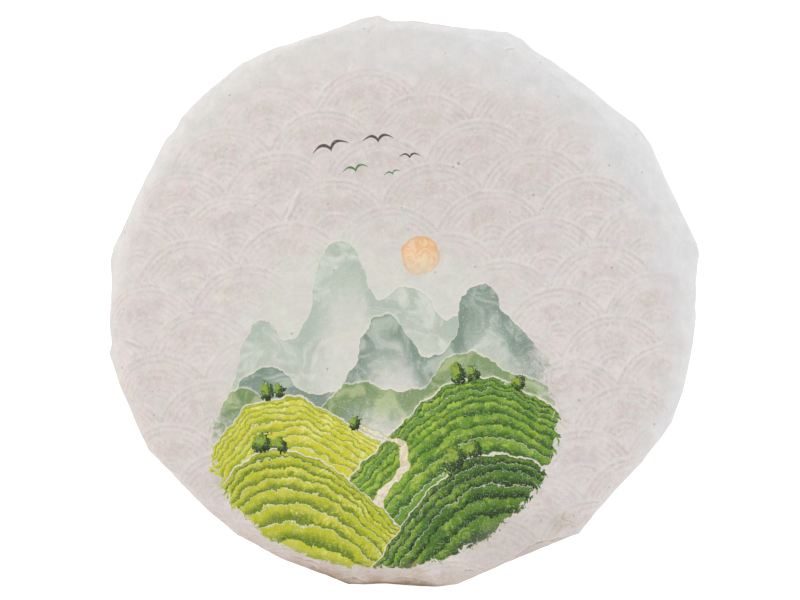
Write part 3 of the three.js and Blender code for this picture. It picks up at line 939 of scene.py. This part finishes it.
    # ---- unevenness of the sheet: lighter and darker, warm and cool, pink and green
    n1 = net.noise(flat, 0.17, 4.0, 0.78, away=37.0)
    n2 = net.noise(flat, 0.15, 3.0, 0.66, colour=True, away=41.0)
    n3 = net.noise(flat, 1.3, 1.0, 0.60, colour=True, away=43.0)
    _, warm, pink = net.split(n2)
    s0, s1, s2 = net.split(n3)
    light = net.line(n1, GRAIN[0], net.line(s0, GRAIN[1], 1.0 - (GRAIN[0] + GRAIN[1]) / 2))
    warm = net.line(warm, GRAIN[2], net.line(s1, GRAIN[3], -(GRAIN[2] + GRAIN[3]) / 2))
    pink = net.line(pink, GRAIN[4], net.line(s2, GRAIN[5], -(GRAIN[4] + GRAIN[5]) / 2))
    lively = net.ramp(printed, 0.0, 1.0, 0.55, 1.0)
    warm, pink = warm * lively, pink * lively
    tint = net.vec(light + warm + pink, light - pink, light - warm + pink)
    colour = net.mix(1.0, colour, tint, kind="MULTIPLY")

    # ---- painted highlight and shade of the creases, and fibres that lie about in the sheet
    apart = net.split(Sum(net, net.node("ShaderNodeAttribute", attribute_name="crimp").outputs["Vector"]))
    force = net.split(Sum(net, net.node("ShaderNodeAttribute", attribute_name="crimp_shading").outputs["Vector"]))
    for away, amount in zip(apart[:2], force[:2]):
        away = net.line(k0, 0.7, net.line(wy, 0.7, away)) - 0.7
        amount = amount * net.ramp(k1, 0.38, 0.60, 0.65, 1.15)
        # painted shade on the outer side of each small fold
        lean = net.step(away, -2.4, -0.2, 0.0, 1.0) * net.step(away, -0.1, 0.1, 1.0, 0.0)
        colour = net.mix(lean * amount * 0.16, colour, paint(166, 152, 140))
        # a painted highlight beside a painted shade line along each small fold
        pair = amount * net.math("SINE", net.math("MAXIMUM", net.math("MINIMUM", away / 0.17, math.pi), -math.pi))
        colour = net.mix(pair * 0.35, colour, paint(238, 232, 224))
        colour = net.mix(pair * -0.85, colour, paint(152, 136, 124))
    crease_light_and_bump = painted_crease_shading(net, net.vmath("MULTIPLY_ADD", wob, (0.9, 0.9, 0.0), flat))
    # painted highlight and painted shade along the folds
    colour = net.mix(crease_light_and_bump, colour, paint(242, 238, 228))
    colour = net.mix(crease_light_and_bump * -1.0, colour, paint(172, 158, 148))
    hair = None
    for k, (sx, sy) in enumerate([(2.5, 0.42), (0.46, 2.7), (1.7, 1.5)]):
        lie = net.vmath("MULTIPLY_ADD", wob, (2.2, 2.2, 0.0), net.vmath("MULTIPLY_ADD", flat, (sx, sy, 0.0),
                                                                         (50.0 + 17 * k, 20.0, 0.0)))
        one = net.noise(lie, 1.0, 1.0, 0.5)
        hair = one if hair is None else net.max(hair, one)
    fibre = net.step(hair, 0.70, 0.80)
    colour = net.mix(fibre * net.ramp(printed, 0.0, 1.0, 0.42, 0.30), colour, paint(236, 234, 232))

    tooth = net.noise(flat, 2.6, 1.0, 0.6, away=47.0)
    bump = net.node("ShaderNodeBump")
    bump.inputs["Strength"].default_value = 0.30
    bump.inputs["Distance"].default_value = 0.00006
    net.put(bump.inputs["Height"], net.line(n1, 0.8, net.line(crease_light_and_bump, 1.2, tooth)))

    out = net.node("ShaderNodeOutputMaterial")
    bsdf = net.node("ShaderNodeBsdfPrincipled")
    net.put(bsdf.inputs["Base Color"], colour)
    bsdf.inputs["Roughness"].default_value = 0.86
    bsdf.inputs["Specular IOR Level"].default_value = 0.25
    tree.links.new(bump.outputs[0], bsdf.inputs["Normal"])
    tree.links.new(bsdf.outputs[0], out.inputs[0])
    print("nodes in the paper:", net.count)
    return mat


# ------------------------------------------------------------------ stage
def area(name, at, aim, size, power, colour=(1, 1, 1)):
    data = bpy.data.lights.new(name, "AREA")
    data.shape = "RECTANGLE"
    data.size, data.size_y = size
    data.energy = power
    data.color = colour
    ob = bpy.data.objects.new(name, data)
    bpy.context.collection.objects.link(ob)
    ob.location = at
    d = np.array(aim, float) - np.array(at, float)
    ob.rotation_euler = Vector(d).to_track_quat("-Z", "Y").to_euler()
    return ob


def make_stage():
    me = bpy.data.meshes.new("floor")
    w = 3.0
    me.from_pydata([(-w, -w, 0), (w, -w, 0), (w, w, 0), (-w, w, 0)], [], [(0, 1, 2, 3)])
    floor = bpy.data.objects.new("floor", me)
    bpy.context.collection.objects.link(floor)
    floor.location.z = -0.00005
    mat = bpy.data.materials.new("floor")
    mat.use_nodes = True
    nt = mat.node_tree
    bsdf = nt.nodes["Principled BSDF"]
    bsdf.inputs["Base Color"].default_value = (0.93, 0.93, 0.93, 1)
    bsdf.inputs["Roughness"].default_value = 0.9
    bsdf.inputs["Specular IOR Level"].default_value = 0.1
    bsdf.inputs["Emission Color"].default_value = (1, 1, 1, 1)
    bsdf.inputs["Emission Strength"].default_value = 0.34
    # seen from below, the floor lets the underside be looked at
    geo = nt.nodes.new("ShaderNodeNewGeometry")
    clear = nt.nodes.new("ShaderNodeBsdfTransparent")
    both = nt.nodes.new("ShaderNodeMixShader")
    nt.links.new(geo.outputs["Backfacing"], both.inputs[0])
    nt.links.new(bsdf.outputs[0], both.inputs[1])
    nt.links.new(clear.outputs[0], both.inputs[2])
    nt.links.new(both.outputs[0], nt.nodes["Material Output"].inputs[0])
    me.materials.append(mat)

    world = bpy.data.worlds.new("world")
    bpy.context.scene.world = world
    world.use_nodes = True
    bg = world.node_tree.nodes["Background"]
    # an even white tent, open and a little warm on the near side
    net = Net(world.node_tree)
    way = Sum(net, net.node("ShaderNodeTexCoord").outputs["Generated"])
    _, wy, wz = net.split(way)
    near = net.step(-wy, 0.70, 0.98)
    net.put(bg.inputs["Color"], net.mix(near, (1.0, 1.0, 1.0), (0.40, 0.30, 0.22)))
    bg.inputs["Strength"].default_value = 1.02
    area("key_back", (0.15, 1.5, 0.75), (0, 0, 0), (2.2, 1.0), 3.4)
    area("side_right", (1.45, -0.45, 0.55), (0, 0, 0), (1.0, 1.6), 3.8)
    area("side_left", (-1.5, 0.1, 0.50), (0, 0, 0), (1.0, 1.6), 5.0)

    scene = bpy.context.scene
    scene.view_settings.view_transform = "Standard"
    scene.view_settings.look = "None"
    scene.view_settings.exposure = 0.0
    scene.view_settings.gamma = 1.0


make_camera()
wrapper = build_skin()
wrapper.data.materials.append(wrapper_material())
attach(wrapper, "root")
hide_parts("wrapped_tea_cake")
make_stage()
